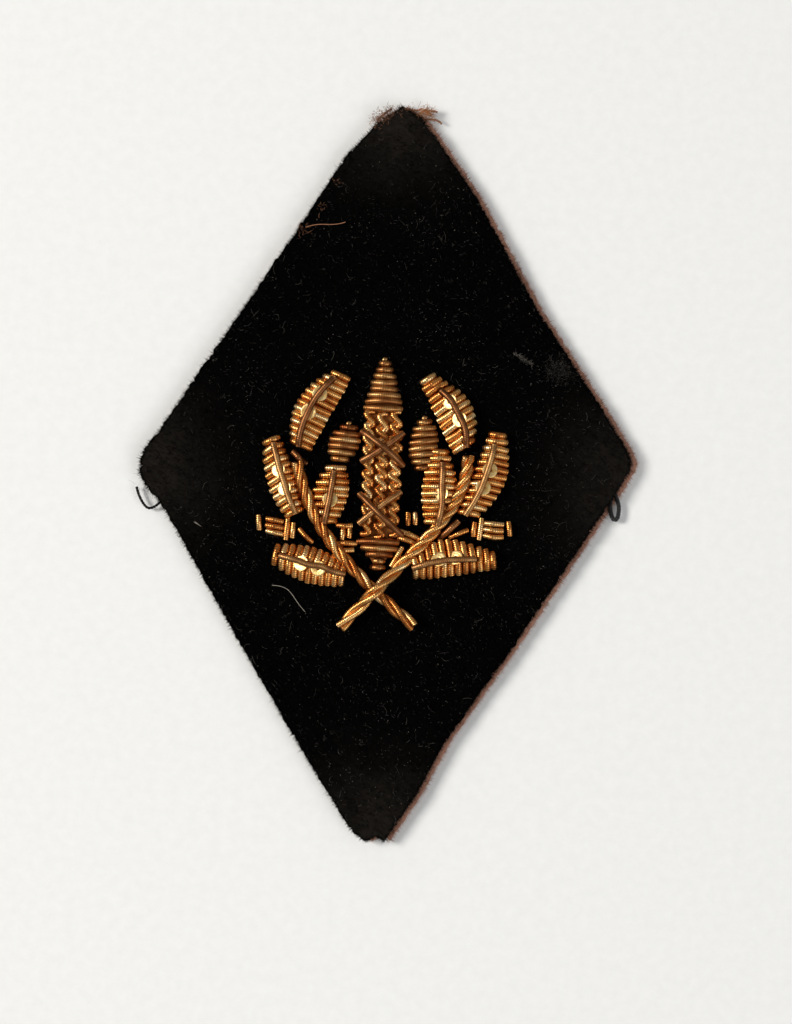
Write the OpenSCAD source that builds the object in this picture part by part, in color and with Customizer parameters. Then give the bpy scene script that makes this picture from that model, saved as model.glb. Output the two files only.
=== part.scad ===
// Hand-embroidered gold bullion badge on a black velvet lozenge, padded and lined.
// Millimetres. +Z up out of the face, +Y to the badge's top point.
// The origin lies at the middle of the back face.

/* [Cloth] */
// Width of the velvet lozenge between its side corners
cloth_w = 64; // [60:1:68]
// Height of the velvet lozenge between its top and bottom points
cloth_h = 96; // [92:1:102]
// Thickness of the brown backing cloth
backing_t = 0.6; // [0.4:0.1:1.2]
// Thickness of the stiff interlining
interlining_t = 0.5; // [0.4:0.1:0.8]
// Thickness of the velvet, ground weave and pile together
velvet_t = 1.3; // [0.8:0.1:2]
// How far the backing cloth shows beyond the velvet on the right
backing_show = 0.8; // [0:0.1:1]
// How far the interlining stops short of the velvet's edge
interlining_inset = 0.8; // [0.4:0.1:2]

/* [Leaf purl] */
// Outside diameter of the purl laid across the leaves
purl_d = 0.8; // [0.6:0.02:0.82]
// Distance between neighbouring lengths of leaf purl
purl_pitch = 0.85; // [0.84:0.01:0.95]
// Height that a length of leaf purl bows up over its padding
leaf_bow = 0.14; // [0.08:0.01:0.2]
// Height of the felt ridge under a leaf
ridge_h = 0.5; // [0.3:0.05:0.6]
// Outside diameter of the purl couched along the middle of a leaf
midrib_d = 0.78; // [0.6:0.02:0.8]

/* [Column purl] */
// Outside diameter of the finer purl of the finial, foot and buds
fine_d = 0.78; // [0.6:0.02:0.8]
// Distance between neighbouring rows of the finer purl
fine_pitch = 0.83; // [0.82:0.01:0.86]
// Height of the felt under the column
column_pad_h = 0.5; // [0.3:0.05:0.6]
// Distance between the column's three chain-stitched rods
rod_pitch = 1.75; // [1.7:0.01:1.85]
// Distance along a rod between neighbouring links
link_pitch = 1.55; // [1.5:0.01:1.58]
// Number of links in each rod
link_count = 10; // [8:1:10]

/* [Stems and hilts] */
// Outside diameter of the short lengths of the hilts
hilt_d = 0.72; // [0.6:0.02:0.74]
// Outside diameter of each strand of a twisted stem
strand_d = 0.74; // [0.6:0.02:0.76]
// Length in which the three strands turn once around each other
twist_pitch = 7.2; // [6:0.1:8.5]

/* [Sequins] */
// Outside diameter of a sequin
sequin_d = 2; // [1.8:0.1:2.2]
// Diameter of the hole in a sequin
sequin_hole_d = 0.5; // [0.3:0.1:0.7]
// Thickness of a sequin
sequin_t = 0.08; // [0.06:0.01:0.1]
// Tilt of a sequin down the slope of its leaf, in degrees
sequin_tilt = 12; // [6:1:13]

/* [Hidden] */
$fn = 24;

// Colours
gold = [0.74, 0.47, 0.17];
pale_gold = [0.93, 0.8, 0.45];
velvet_black = [0.07, 0.065, 0.06];
backing_brown = [0.38, 0.19, 0.12];
linen = [0.74, 0.7, 0.58];
felt_yellow = [0.83, 0.66, 0.28];
thread_black = [0.1, 0.1, 0.1];
thread_brown = [0.42, 0.24, 0.15];

// Heights of the layers and of what lies on them
lay_gap = 0.02;
interlining_z = backing_t;
velvet_z = backing_t + interlining_t;
face_z = velvet_z + velvet_t;
stitch_d = 0.22;
stitch_pocket_h = 0.26;
stitch_len = 2.6;
stitch_row_pitch = 2.25;
stitch_step = 3.4;
stitch_slant = 8;
stitch_rows = 7;
stitch_steps = 4;
stitch_corner_cut = 1.25;
stitch_area_w = 34;
stitch_area_h = 38;
stitch_area_y = -2.5;
loose_thread_d = 0.3;
thread_bow = 0.25;
least_bow = 0.05;
stalk_bow = 0.2;
hilt_bow = 0.12;
low_bow = 0.3;
high_bow = 0.95;
bud_bow = 0.12;
column_bow = 0.16;
column_felt_w = 3.4;
felt_foot = [0.5, -1.8];
felt_neck = [0.9, 3];
felt_point = [0.2, 4.5];
tip_roundness = 0.8;
leaf_base_angle = 26;
leaf_turn = 120;
leaf_fullness = 0.8;
tip_look_back = 0.1;
felt_start = 0.1;
felt_step = 0.2;
sequin_shift = 0.2;
curve_excess = 1.06;
loose_thread_z = backing_t + loose_thread_d;
felt_layers = [[0, 0.7], [1, 0.16]];
ridge_gap = 0.12;
ridge_z = face_z + ridge_h + purl_d / 2 + ridge_gap;
foot_z = face_z + purl_d / 2 + lay_gap;
fine_foot_z = face_z + fine_d / 2 + lay_gap;
row_end_inset = fine_d / 4;
hilt_z = face_z + hilt_d / 2 + lay_gap;
sequin_gap = 0.1;
sequin_z = ridge_z + purl_d / 2 + sequin_gap;
midrib_z = sequin_z + sequin_t + midrib_d / 2 + lay_gap;
stalk_drop = 0.75;
spine_gap = 0.25;
rod_sink = 0.08;
rod_low_z = face_z + column_pad_h + purl_d / 2 - rod_sink;
outer_rod_drop = 0.12;
link_bow = 0.22;
lacing_gap = 0.05;
lacing_low_z = rod_low_z + purl_d + lacing_gap;
lacing_bow = 0.35;
lacing_clear = 0.1;

// The velvet's outline, counter-clockwise from the top point, for a lozenge of 64 x 96
outline_w = 64;
outline_h = 96;
outline = [
    [0.5, 48], [-2.5, 45.8], [-6.5, 41.3], [-12.5, 31.5], [-24, 13.5], [-29.6, 4.7], [-31.5, 2.2],
    [-32, 0.6], [-32, -0.9], [-31.3, -2.4], [-30, -3.7], [-28.5, -5.6], [-19.5, -20.5],
    [-9.5, -36.5], [-3, -46.3], [-1, -48], [0.3, -47.2], [1.5, -47.8], [5.5, -41.5], [9, -34.5],
    [17, -22.5], [26, -8], [30.4, -0.9], [31.7, 1.4], [32, 2.6], [31.3, 4.2], [28.5, 8.5],
    [19, 22], [10.5, 36.5], [5, 44], [3, 46.5]
];

// Leaves: name, base and tip of the midrib, sideways bow of the midrib, reach of the
// purl to its left and to its right, angle that the purl lies at, angle that it sweeps back,
// lengths of purl that wrap its tip past the end of the midrib
leaves = [
    ["upper_left_leaf", [-11.4, 3.1], [-6.9, 12.3], 1.2, 1.5, 2.8, -22, 0, 1],
    ["outer_left_leaf", [-11.4, -5.6], [-14.7, 3.5], 0.2, 2.0, 1.4, 25, 10, 1],
    ["inner_left_leaf", [-7.8, -6.7], [-6.6, 0.1], 0.0, 2.1, 2.2, 0, 2, 1],
    ["lower_left_leaf", [-4.8, -13.2], [-13.4, -11], 0.0, 2.3, 2.0, 80, 8, 1],
    ["upper_right_leaf", [10.3, 3.7], [6.8, 11.1], -0.9, 2.8, 1.8, 35, 2, 3],
    ["outer_right_leaf", [10.5, -5], [14, 4.3], -0.6, 1.6, 2.4, -5, 6, 2],
    ["inner_right_leaf", [7, -6.4], [7.3, 1.8], -0.4, 2.6, 1.6, 0, 2, 2],
    ["lower_right_leaf", [3.9, -12.1], [12.2, -10.7], 0.5, 2.5, 2.1, -83, 5, 3]
];
LEAF_BASE = 1;
LEAF_TIP = 2;
LEAF_CURVE = 3;
LEAF_REACH_LEFT = 4;
LEAF_REACH_RIGHT = 5;
LEAF_LAY = 6;
LEAF_SWEEP = 7;
LEAF_WRAPS = 8;

// Stalks: the index of the leaf, and the two ends of the purl that joins its base to the stem
stalks = [
    [0, [-12.2, 2.5], [-10.4, 1.1]], [2, [-7.6, -7.5], [-6.1, -9]],
    [5, [9.8, -5.8], [7.2, -8.2]], [6, [6.7, -7.2], [5, -8.6]]
];

// Places of the sequins, as shares of the way from each midrib's base to its tip
sequin_places = [
    [0.45, 0.72], [0.38, 0.64], [0.46], [0.4, 0.66], [0.46, 0.78], [0.42, 0.66], [0.5], [0.42, 0.68]
];

// Buds: name, middle of the lowest row, number of rows, widest row, angle of the rows,
// distance that each row lies to the right of the one below it
buds = [
    ["left_bud", [-6, 1.75], 6, 4, -3, 0.17],
    ["right_bud", [4.7, 1], 8, 3.8, 8, 0.14]
];
BUD_PLACE = 1;
BUD_ROWS = 2;
BUD_W = 3;
BUD_ANGLE = 4;
BUD_LEAN = 5;
bud_felt_h = 0.3;
bud_felt_share = 0.32;
bud_first_row = 0.8;
bud_end_room = 0.6;
bud_fullness = 0.6;

// The column's axis and the lengths of its rows, from the body outwards
column_x = -0.55;
column_top = 7.85;
finial_y = 8.5;
finial_rows = [5, 4.7, 4.2, 3.4, 3.3, 2.8, 2.1, 1.4];
foot_y = -8.85;
foot_rows = [5.4, 4.4, 3.4, 1.6, 1.8];
middle_rod_drop = 0.45;
link_len = 2;
link_angle = -55;

// Guide points of the stems' two curves, from under the upper leaves to the cut ends,
// and the place where the right stem crosses over the left one
left_stem_guide = [[-11.5, 1.1], [-9.5, -7.5], [-5, -12], [4.4, -19.6]];
right_stem_guide = [[10.6, 2.6], [11, -4.5], [4, -9.5], [-5.2, -20.1]];
stem_crossing = [-0.8, -15.2];
stem_rings = 80;
strand_sides = 8;
strand_count = 3;
strand_share = 0.66;
strand_off = strand_share * strand_d;
stem_z = face_z + strand_off + strand_d / 2 + lay_gap;
crossing_gap = 0.25;
crossing_sink = 0.35;
crossing_lift = 2 * strand_off + strand_d + crossing_gap - crossing_sink;
crossing_reach = 2.4;

// Hilts: pairs of ends of each short length of purl, from the knob inwards
outer_left_hilt_runs = [
    [[-16.3, -5.9], [-16.1, -7.7]], [[-15.4, -6.3], [-13.1, -6.7]], [[-15.3, -7.1], [-13.1, -7.5]],
    [[-15.1, -7.9], [-13.1, -8.3]], [[-12.5, -6.2], [-12.6, -9]], [[-11.7, -6.8], [-11.8, -8.7]],
    [[-10.9, -7.5], [-9.2, -9.2]]
];
outer_right_hilt_runs = [
    [[16.2, -5.7], [16.4, -7.4]], [[15.5, -6.1], [13.1, -5.9]], [[15.5, -6.9], [13.1, -6.7]],
    [[15.5, -7.7], [13.1, -7.5]], [[12.6, -5.3], [12.5, -8.1]], [[11.8, -5.9], [11.7, -7.7]],
    [[11, -6.9], [8.7, -7.9]]
];
inner_left_hilt_runs = [
    [[-6.1, -6.9], [-4.1, -6.8]], [[-5.3, -7.4], [-5.3, -8.6]], [[-4.4, -7.4], [-4.4, -8.6]],
    [[-6.1, -9.3], [-3.5, -9.2]], [[-6, -10.1], [-3.8, -10]]
];
inner_right_hilt_runs = [
    [[3.1, -5.1], [3.1, -6.5]], [[4, -5], [4.1, -6.3]], [[2.2, -7.4], [4.7, -8.3]],
    [[1.9, -8.2], [4.4, -9.1]], [[2.6, -9.4], [1.1, -12]]
];

// Lacing over the column: the two ends of each length
upper_lacing_runs = [[[2.2, 5.4], [-3.3, 1.5]], [[-3.3, 5.4], [2.2, 1.2]]];
lower_lacing_runs = [[[2.1, -2.3], [-3.3, -6.5]], [[-3.2, -2.7], [2.3, -7.9]]];

// Loose threads at the cloth's points
fray_runs = [
    [[-2.7, 46.1], [-0.8, 47.6]], [[3.1, 47.8], [0.6, 47.85]], [[2.8, 47.2], [5.2, 47.5]],
    [[3.4, 46.4], [5.9, 45.9]]
];
corner_thread_runs = [[[-28.8, -4], [-30.6, -5.6]], [[-30.8, -5.7], [-32.4, -2.8]]];
loop_centre = [30, -3.2];
loop_angle = 5;
loop_w = 1.15;
loop_l = 3.6;

LEAF_PARTS = ["padding", "purls", "midrib", "sequins"];

// Unit vector at an angle in the plane of the cloth
function heading(angle) = [cos(angle), sin(angle)];

// A plan point raised to a height
function at_height(p, z) = [p.x, p.y, z];

// The point at share t of a curve from a to b that bows to its left by bow
function bowed(a, b, bow, t) =
    a + (b - a) * t + [-(b - a).y, (b - a).x] / norm(b - a) * 4 * bow * t * (1 - t);

// The share of that curve at which it has gone a given way along the unit vector n
function share_at(a, b, bow, n, way) =
    let (side = [-(b - a).y, (b - a).x] / norm(b - a), lift = 4 * bow * (side * n))
    let (start = (b - a) * n + lift)
    2 * way / (start + sqrt(start * start - 4 * lift * way));

// Reach of a leaf's purl at share t of its midrib, as a part of its widest reach
function leaf_profile(t) = pow(sin(leaf_base_angle + leaf_turn * t), leaf_fullness);

// The point at share t of a cubic curve through four guide points
function on_curve(g, t) =
    g[0] * pow(1 - t, 3) + 3 * g[1] * t * pow(1 - t, 2) + 3 * g[2] * t * t * (1 - t) + g[3] * pow(t, 3);

// A length of purl from a to b, an arc that bows by bow, upwards at roll 0 and to the left at -90
module purl(a, b, bow, d = purl_d, roll = 0) {
    span = b - a;
    len = norm(span);
    r = (len * len / 4 + bow * bow) / (2 * bow);
    half = asin(len / 2 / r);
    translate((a + b) / 2)
        rotate([0, -atan2(span.z, norm([span.x, span.y])), atan2(span.y, span.x)])
            rotate([roll, 0, 0])
                translate([0, 0, bow - r])
                    rotate([90, 0, 0])
                        rotate([0, 0, 90 - half])
                            rotate_extrude(angle = 2 * half)
                                translate([r, 0])
                                    circle(d = d);
}

// A length of purl that lies level at height z and bows sideways, to the left if bow is positive
module level_purl(a, b, bow, z, d = purl_d) {
    if (abs(bow) < least_bow)
        translate(at_height(a, z))
            rotate([0, 90, atan2((b - a).y, (b - a).x)])
                cylinder(d = d, h = norm(b - a));
    else if (bow > 0)
        purl(at_height(a, z), at_height(b, z), bow, d, -90);
    else
        purl(at_height(b, z), at_height(a, z), -bow, d, -90);
}

// The lozenge's outline at the cloth's size, drawn in by inset on every side
module lozenge(inset = 0) {
    scale_x = (cloth_w - 2 * inset) / outline_w;
    scale_y = (cloth_h - 2 * inset * cloth_h / cloth_w) / outline_h;
    polygon([for (p = outline) [p.x * scale_x, p.y * scale_y]]);
}

module backing_cloth() {
    color(backing_brown)
        translate([backing_show, 0, 0])
            linear_extrude(backing_t)
                lozenge();
}

module interlining() {
    color(linen)
        translate([0, 0, interlining_z])
            difference() {
                linear_extrude(interlining_t)
                    lozenge(interlining_inset);
                translate([-stitch_area_w / 2, stitch_area_y - stitch_area_h / 2, -1])
                    cube([stitch_area_w, stitch_area_h, 1 + stitch_pocket_h]);
            }
}

// Back stitches in rows under the emblem, slanted like the couching that they belong to
module sewing_thread() {
    color(felt_yellow)
        for (row = [-stitch_rows:stitch_rows], step = [-stitch_steps:stitch_steps])
            if (norm([row / stitch_rows, step / stitch_steps]) < stitch_corner_cut)
                translate([step * stitch_step, stitch_area_y + row * stitch_row_pitch, interlining_z])
                    translate([-stitch_len / 2, 0, stitch_d / 2 + lay_gap / 2])
                        rotate([0, 90, (row % 2) * stitch_slant])
                            cylinder(d = stitch_d, h = stitch_len);
}

module velvet_ground() {
    color(velvet_black)
        translate([0, 0, velvet_z])
            linear_extrude(velvet_t)
                lozenge();
}

// One side of a leaf's felt, as a share of the reach of its purl
function felt_side(leaf, reach, side, share) = [
    for (t = [felt_start:felt_step:1 - felt_start])
        bowed(leaf[LEAF_BASE], leaf[LEAF_TIP], leaf[LEAF_CURVE], t)
            + side * reach * share * leaf_profile(t) * heading(leaf[LEAF_LAY])
];

function reversed(list) = [for (i = [len(list) - 1:-1:0]) list[i]];

// Two layers of felt, the upper one narrower, that raise the middle of the leaf
module leaf_padding(leaf) {
    color(felt_yellow)
        for (layer = felt_layers)
            translate([0, 0, face_z + layer[0] * ridge_h / 2])
                linear_extrude(ridge_h / 2)
                    polygon(concat(
                        felt_side(leaf, leaf[LEAF_REACH_RIGHT], 1, layer[1]),
                        reversed(felt_side(leaf, leaf[LEAF_REACH_LEFT], -1, layer[1]))
                    ));
}

// Lengths of purl laid side by side from the midrib down to the velvet on each side, and
// a few that wrap the tip from side to side
module leaf_purls(leaf) {
    base = leaf[LEAF_BASE];
    tip = leaf[LEAF_TIP];
    bow = leaf[LEAF_CURVE];
    for (side = [-1, 1]) {
        lie = leaf[LEAF_LAY] - side * leaf[LEAF_SWEEP];
        across = heading(lie);
        along = heading(lie + 90);
        count = floor((tip - base) * along / purl_pitch);
        pitch = (tip - base) * along / count;
        reach = side > 0 ? leaf[LEAF_REACH_RIGHT] : leaf[LEAF_REACH_LEFT];
        color(gold)
            for (i = [0:count - 1]) {
                t = share_at(base, tip, bow, along, (i + 0.5) * pitch);
                root = bowed(base, tip, bow, t);
                inner = root + side * spine_gap * across;
                outer = root + side * reach * leaf_profile(t) * across;
                purl(at_height(inner, ridge_z), at_height(outer, foot_z), leaf_bow);
            }
    }
    across = heading(leaf[LEAF_LAY]);
    ahead = tip - bowed(base, tip, bow, 1 - tip_look_back);
    step = ahead / (ahead * heading(leaf[LEAF_LAY] + 90)) * purl_pitch;
    color(gold)
        for (i = [1:leaf[LEAF_WRAPS]]) {
            narrow = leaf_profile(1) * sqrt(1 - pow(i / (leaf[LEAF_WRAPS] + tip_roundness), 2));
            middle = tip + (i - 0.5) * step;
            left = middle - leaf[LEAF_REACH_LEFT] * narrow * across;
            right = middle + leaf[LEAF_REACH_RIGHT] * narrow * across;
            purl(at_height(left, foot_z), at_height(right, foot_z), ridge_h);
        }
}

// The purl couched along the middle of a leaf, over the inner ends of the others, and the
// stalk that runs on from its base down to the stem
module leaf_midrib(index) {
    leaf = leaves[index];
    color(gold) {
        level_purl(leaf[LEAF_BASE], leaf[LEAF_TIP], leaf[LEAF_CURVE], midrib_z, midrib_d);
        for (stalk = stalks)
            if (stalk[0] == index)
                purl(at_height(stalk[1], midrib_z - stalk_drop), at_height(stalk[2], hilt_z),
                     stalk_bow, midrib_d);
    }
}

// Pierced discs caught under the midrib, each tilted down the wider side of its leaf
module leaf_sequins(leaf, places) {
    side = leaf[LEAF_REACH_RIGHT] > leaf[LEAF_REACH_LEFT] ? 1 : -1;
    color(pale_gold)
        for (t = places)
            translate(at_height(bowed(leaf[LEAF_BASE], leaf[LEAF_TIP], leaf[LEAF_CURVE], t), sequin_z))
                rotate([0, 0, leaf[LEAF_LAY]])
                    rotate([0, side * sequin_tilt, 0])
                        translate([side * sequin_shift, 0, 0])
                            difference() {
                                cylinder(d = sequin_d, h = sequin_t);
                                translate([0, 0, -sequin_t])
                                    cylinder(d = sequin_hole_d, h = 3 * sequin_t);
                            }
}

// Length of a bud's row, from the lowest up
function bud_row(bud, i) =
    bud[BUD_W] * pow(sin(180 * (i + bud_first_row) / (bud[BUD_ROWS] + bud_end_room)), bud_fullness);

// One side of a bud's felt, to the right of its middle or, with side -1, to the left
function bud_side(bud, side) = [
    for (i = [0:bud[BUD_ROWS] - 1])
        [i * bud[BUD_LEAN] + side * bud_row(bud, i) * bud_felt_share, i * fine_pitch]
];

module bud_padding(bud) {
    color(felt_yellow)
        translate(at_height(bud[BUD_PLACE], face_z))
            rotate([0, 0, bud[BUD_ANGLE]])
                linear_extrude(bud_felt_h)
                    polygon(concat(bud_side(bud, 1), reversed(bud_side(bud, -1))));
}

// How far a row bows up, more for a longer row, so that it clears the felt under it
function row_bow(length, rise) = min(low_bow + rise * length, high_bow);

// Rows of fine purl laid over a bud or the column's ends, each bowed up across its padding
module purl_row(length, y, bow) {
    ends = [length / 2 - row_end_inset, y, fine_foot_z];
    purl([-ends.x, ends.y, ends.z], ends, bow, fine_d);
}

module bud_purls(bud) {
    color(gold)
        translate(at_height(bud[BUD_PLACE], 0))
            rotate([0, 0, bud[BUD_ANGLE]])
                for (i = [0:bud[BUD_ROWS] - 1])
                    translate([i * bud[BUD_LEAN], 0, 0])
                        purl_row(bud_row(bud, i), i * fine_pitch, row_bow(bud_row(bud, i), bud_bow));
}

module column_padding() {
    side = [
        [felt_foot.x, foot_y + felt_foot.y], [column_felt_w / 2, foot_y],
        [column_felt_w / 2, finial_y], [felt_neck.x, finial_y + felt_neck.y],
        [felt_point.x, finial_y + felt_point.y]
    ];
    color(felt_yellow)
        translate([column_x, 0, face_z])
            linear_extrude(column_pad_h)
                polygon(concat(side, reversed([for (p = side) [-p.x, p.y]])));
}

module finial_purls() {
    color(gold)
        translate([column_x, 0, 0])
            for (i = [0:len(finial_rows) - 1])
                purl_row(finial_rows[i], finial_y + i * fine_pitch, row_bow(finial_rows[i], column_bow));
}

module foot_purls() {
    color(gold)
        translate([column_x, 0, 0])
            for (i = [0:len(foot_rows) - 1])
                purl_row(foot_rows[i], foot_y - i * fine_pitch, row_bow(foot_rows[i], column_bow));
}

// A rod of the column: slanted links of purl in a chain, each laid down to the right
module rod(place, drop) {
    half_link = heading(link_angle) * link_len / 2;
    low = rod_low_z - abs(place) * outer_rod_drop;
    color(gold)
        for (i = [0:link_count - 1]) {
            middle = [column_x + place * rod_pitch, column_top - drop - (i + 0.5) * link_pitch];
            purl(at_height(middle - half_link, low), at_height(middle + half_link, low), link_bow);
        }
}

module left_rod() { rod(-1, 0); }
module middle_rod() { rod(0, middle_rod_drop); }
module right_rod() { rod(1, 0); }

// Lengths of fine purl laced across the column, the last one on top
module lacing(runs) {
    color(gold)
        for (i = [0:len(runs) - 1])
            purl(at_height(runs[i][0], lacing_low_z), at_height(runs[i][1], lacing_low_z),
                 lacing_bow + i * (fine_d + lacing_clear), fine_d);
}

module upper_lacing() { lacing(upper_lacing_runs); }
module lower_lacing() { lacing(lower_lacing_runs); }

// A tube around a list of centres, with one ring of points to each centre
module strand(centres, sides) {
    rings = len(centres);
    corner = 360 / strand_sides;
    polyhedron(
        points = [
            for (i = [0:rings - 1]) for (k = [0:strand_sides - 1])
                centres[i] + strand_d / 2 * (cos(k * corner) * sides[i] + [0, 0, sin(k * corner)])
        ],
        faces = concat(
            [[for (k = [0:strand_sides - 1]) k]],
            [[for (k = [strand_sides - 1:-1:0]) (rings - 1) * strand_sides + k]],
            [
                for (i = [0:rings - 2]) for (k = [0:strand_sides - 1])
                    let (next = (k + 1) % strand_sides)
                    [i * strand_sides + k, (i + 1) * strand_sides + k,
                     (i + 1) * strand_sides + next, i * strand_sides + next]
            ]
        )
    );
}

// Strands twisted around a curve that lifts by lift where it crosses the other stem
module stem(guide, lift) {
    shares = [for (i = [0:stem_rings]) i / stem_rings];
    plan = [for (t = shares) on_curve(guide, t)];
    run = norm(guide[3] - guide[0]) * curve_excess;
    sides = [
        for (i = [0:stem_rings])
            let (step = plan[min(i + 1, stem_rings)] - plan[max(i - 1, 0)])
            [-step.y, step.x, 0] / norm(step)
    ];
    turn = 360 * run / twist_pitch;
    color(gold)
        for (k = [1:strand_count])
            strand([
                for (i = [0:stem_rings])
                    let (away = norm(plan[i] - stem_crossing) / crossing_reach)
                    let (a = 360 * k / strand_count + turn * shares[i])
                    at_height(plan[i], stem_z + lift * exp(-away * away))
                        + strand_off * (cos(a) * sides[i] + [0, 0, sin(a)])
            ], sides);
}

module left_stem() { stem(left_stem_guide, 0); }
module right_stem() { stem(right_stem_guide, crossing_lift); }

// Short lengths of purl, each bowed up a little off the velvet
module hilt(runs) {
    color(gold)
        for (run = runs)
            purl(at_height(run[0], hilt_z), at_height(run[1], hilt_z), hilt_bow, hilt_d);
}

// Loose threads that lie beside the cloth's edge
module loose_threads(runs, colour) {
    color(colour)
        for (run = runs)
            level_purl(run[0], run[1], thread_bow, loose_thread_z, loose_thread_d);
}

module top_fray() { loose_threads(fray_runs, thread_brown); }
module left_corner_thread() { loose_threads(corner_thread_runs, thread_black); }

// A thread pulled out of the edge into a loop
module right_corner_loop() {
    straight = loop_l - loop_w;
    color(thread_black)
        translate(at_height(loop_centre, loose_thread_z))
            for (end = [loop_angle, loop_angle + 180])
                rotate([0, 0, end]) {
                    translate([0, straight / 2, 0])
                        rotate_extrude(angle = 180)
                            translate([loop_w / 2, 0])
                                circle(d = loose_thread_d);
                    translate([loop_w / 2, -straight / 2, 0])
                        rotate([-90, 0, 0])
                            cylinder(d = loose_thread_d, h = straight);
                }
}

backing_cloth();
sewing_thread();
interlining();
velvet_ground();
for (i = [0:len(leaves) - 1]) {
    leaf_padding(leaves[i]);
    leaf_purls(leaves[i]);
    leaf_midrib(i);
    leaf_sequins(leaves[i], sequin_places[i]);
}
for (bud = buds) {
    bud_padding(bud);
    bud_purls(bud);
}
column_padding();
finial_purls();
left_rod();
middle_rod();
right_rod();
foot_purls();
upper_lacing();
lower_lacing();
left_stem();
right_stem();
hilt(outer_left_hilt_runs);  // outer_left_hilt
hilt(outer_right_hilt_runs);  // outer_right_hilt
hilt(inner_left_hilt_runs);  // inner_left_hilt
hilt(inner_right_hilt_runs);  // inner_right_hilt
top_fray();
left_corner_thread();
right_corner_loop();
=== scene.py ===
"""Looks of the embroidered badge: wound gold purl, sequins, velvet pile, felt, linen and loose threads.

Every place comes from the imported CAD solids. Each length of purl in the frame is a plain tube, so
its end discs give its centreline, and a wound-wire tube is built along it.
"""
import math

import bpy
import numpy as np
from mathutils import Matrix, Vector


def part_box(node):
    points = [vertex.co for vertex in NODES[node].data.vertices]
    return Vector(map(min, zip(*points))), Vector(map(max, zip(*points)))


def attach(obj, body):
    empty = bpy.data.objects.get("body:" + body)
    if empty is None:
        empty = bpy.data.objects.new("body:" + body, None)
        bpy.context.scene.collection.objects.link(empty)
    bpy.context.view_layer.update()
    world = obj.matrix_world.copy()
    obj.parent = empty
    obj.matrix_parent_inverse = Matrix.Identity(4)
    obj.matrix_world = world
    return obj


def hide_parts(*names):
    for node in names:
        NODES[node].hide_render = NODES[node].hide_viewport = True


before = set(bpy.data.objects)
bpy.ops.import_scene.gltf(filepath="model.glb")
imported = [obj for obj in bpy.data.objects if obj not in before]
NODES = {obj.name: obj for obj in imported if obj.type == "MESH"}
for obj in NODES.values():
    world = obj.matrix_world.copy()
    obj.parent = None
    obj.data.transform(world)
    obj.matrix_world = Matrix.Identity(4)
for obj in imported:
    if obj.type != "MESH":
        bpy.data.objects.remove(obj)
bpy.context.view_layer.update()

MM = 0.001
BODY = "root"
rng = np.random.default_rng(7)

# The box of the velvet, by which the places on it are given
LOW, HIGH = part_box("velvet_ground")


def ending(suffix, cut=""):
    """The nodes whose names end in the suffix, in order, with cut taken off their names."""
    return sorted(node.removesuffix(cut) for node in NODES if node.endswith(suffix))


# Camera
SEEN_HEIGHT = 133.1 * MM
LOOK_RIGHT = 1.54 * MM
LOOK_DOWN = 4.89 * MM
CAMERA_TURN = math.radians(2)

# Wire
WIND_PITCH = 0.25 * MM
WIND_DEPTH = 0.042 * MM
RINGS_PER_WIND = 5
TUBE_SIDES = 12
BORE_SHARE = 0.52
SWELL = 1.1
LEAF_SWELL = 1.16
DIP_REACH = 0.8 * MM
SWAY_SIZE = 4.5 * MM
LINK_RADIUS = 0.43 * MM
LINK_HALF_W = 0.5 * MM
LINK_HALF_H = 1.02 * MM
LINK_RISE = 0.5 * MM
LINK_SINK = 0.22 * MM
KNOT_RADIUS = 0.17 * MM
KNOT_ABOVE = 0.42 * MM
STRAND_SWELL = 1.16
SEQUIN_LIFT = 0.15 * MM
SEQUIN_WALL = 0.03 * MM
SEQUIN_SEGMENTS = 56
SEQUIN_DISH = 0.05 * MM
SEQUIN_LEAN = (-0.21, 0.18, 0)

# Cloth
PILE_COUNT = 48000
PILE_HEIGHT = 0.42 * MM
PILE_SINK = 0.34 * MM
PILE_LEAN = (0.16, -0.12)
EDGE_FUZZ = 8000
LINT_COUNT = 1250
DUST_COUNT = 700
STREAK_COUNT = 130
STRAY_COUNT = 60
FIBRE_STEPS = 6


# ---- camera

def add_camera():
    """Looks straight down, turned by a small angle, at a point a little below the middle of the velvet."""
    middle = (LOW + HIGH) / 2
    data = bpy.data.cameras.new("camera")
    data.lens = 100
    data.sensor_width = 36
    data.clip_start = 0.01
    camera = bpy.data.objects.new("camera", data)
    distance = SEEN_HEIGHT * data.lens / data.sensor_width
    camera.location = (middle.x + LOOK_RIGHT, middle.y - LOOK_DOWN, HIGH.z + distance)
    camera.rotation_euler = (0, 0, CAMERA_TURN)
    bpy.context.scene.collection.objects.link(camera)
    bpy.context.scene.camera = camera


add_camera()


# ---- reading the CAD solids

TINY = 1e-20
SAME_PLACE = 0.002 * MM
SAME_PLANE = 0.99999
LEAST_BEND = 0.01
LEAST_CAP_FACES = 4
LEAST_CAP_CORNERS = 6
ROUND_ENOUGH = 0.03
WAVE_COUNT = 14
ARC_STEP = 0.1 * MM


def points_of(mesh):
    flat = np.zeros(len(mesh.vertices) * 3)
    mesh.vertices.foreach_get("co", flat)
    return flat.reshape(-1, 3)


def unit(vectors):
    """The vectors, each at a length of one."""
    return vectors / np.maximum(np.linalg.norm(vectors, axis=-1, keepdims=True), TINY)


def way_along(path):
    """The length of the path from its start to each of its points."""
    return np.concatenate([[0], np.cumsum(np.linalg.norm(np.diff(path, axis=0), axis=1))])


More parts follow.
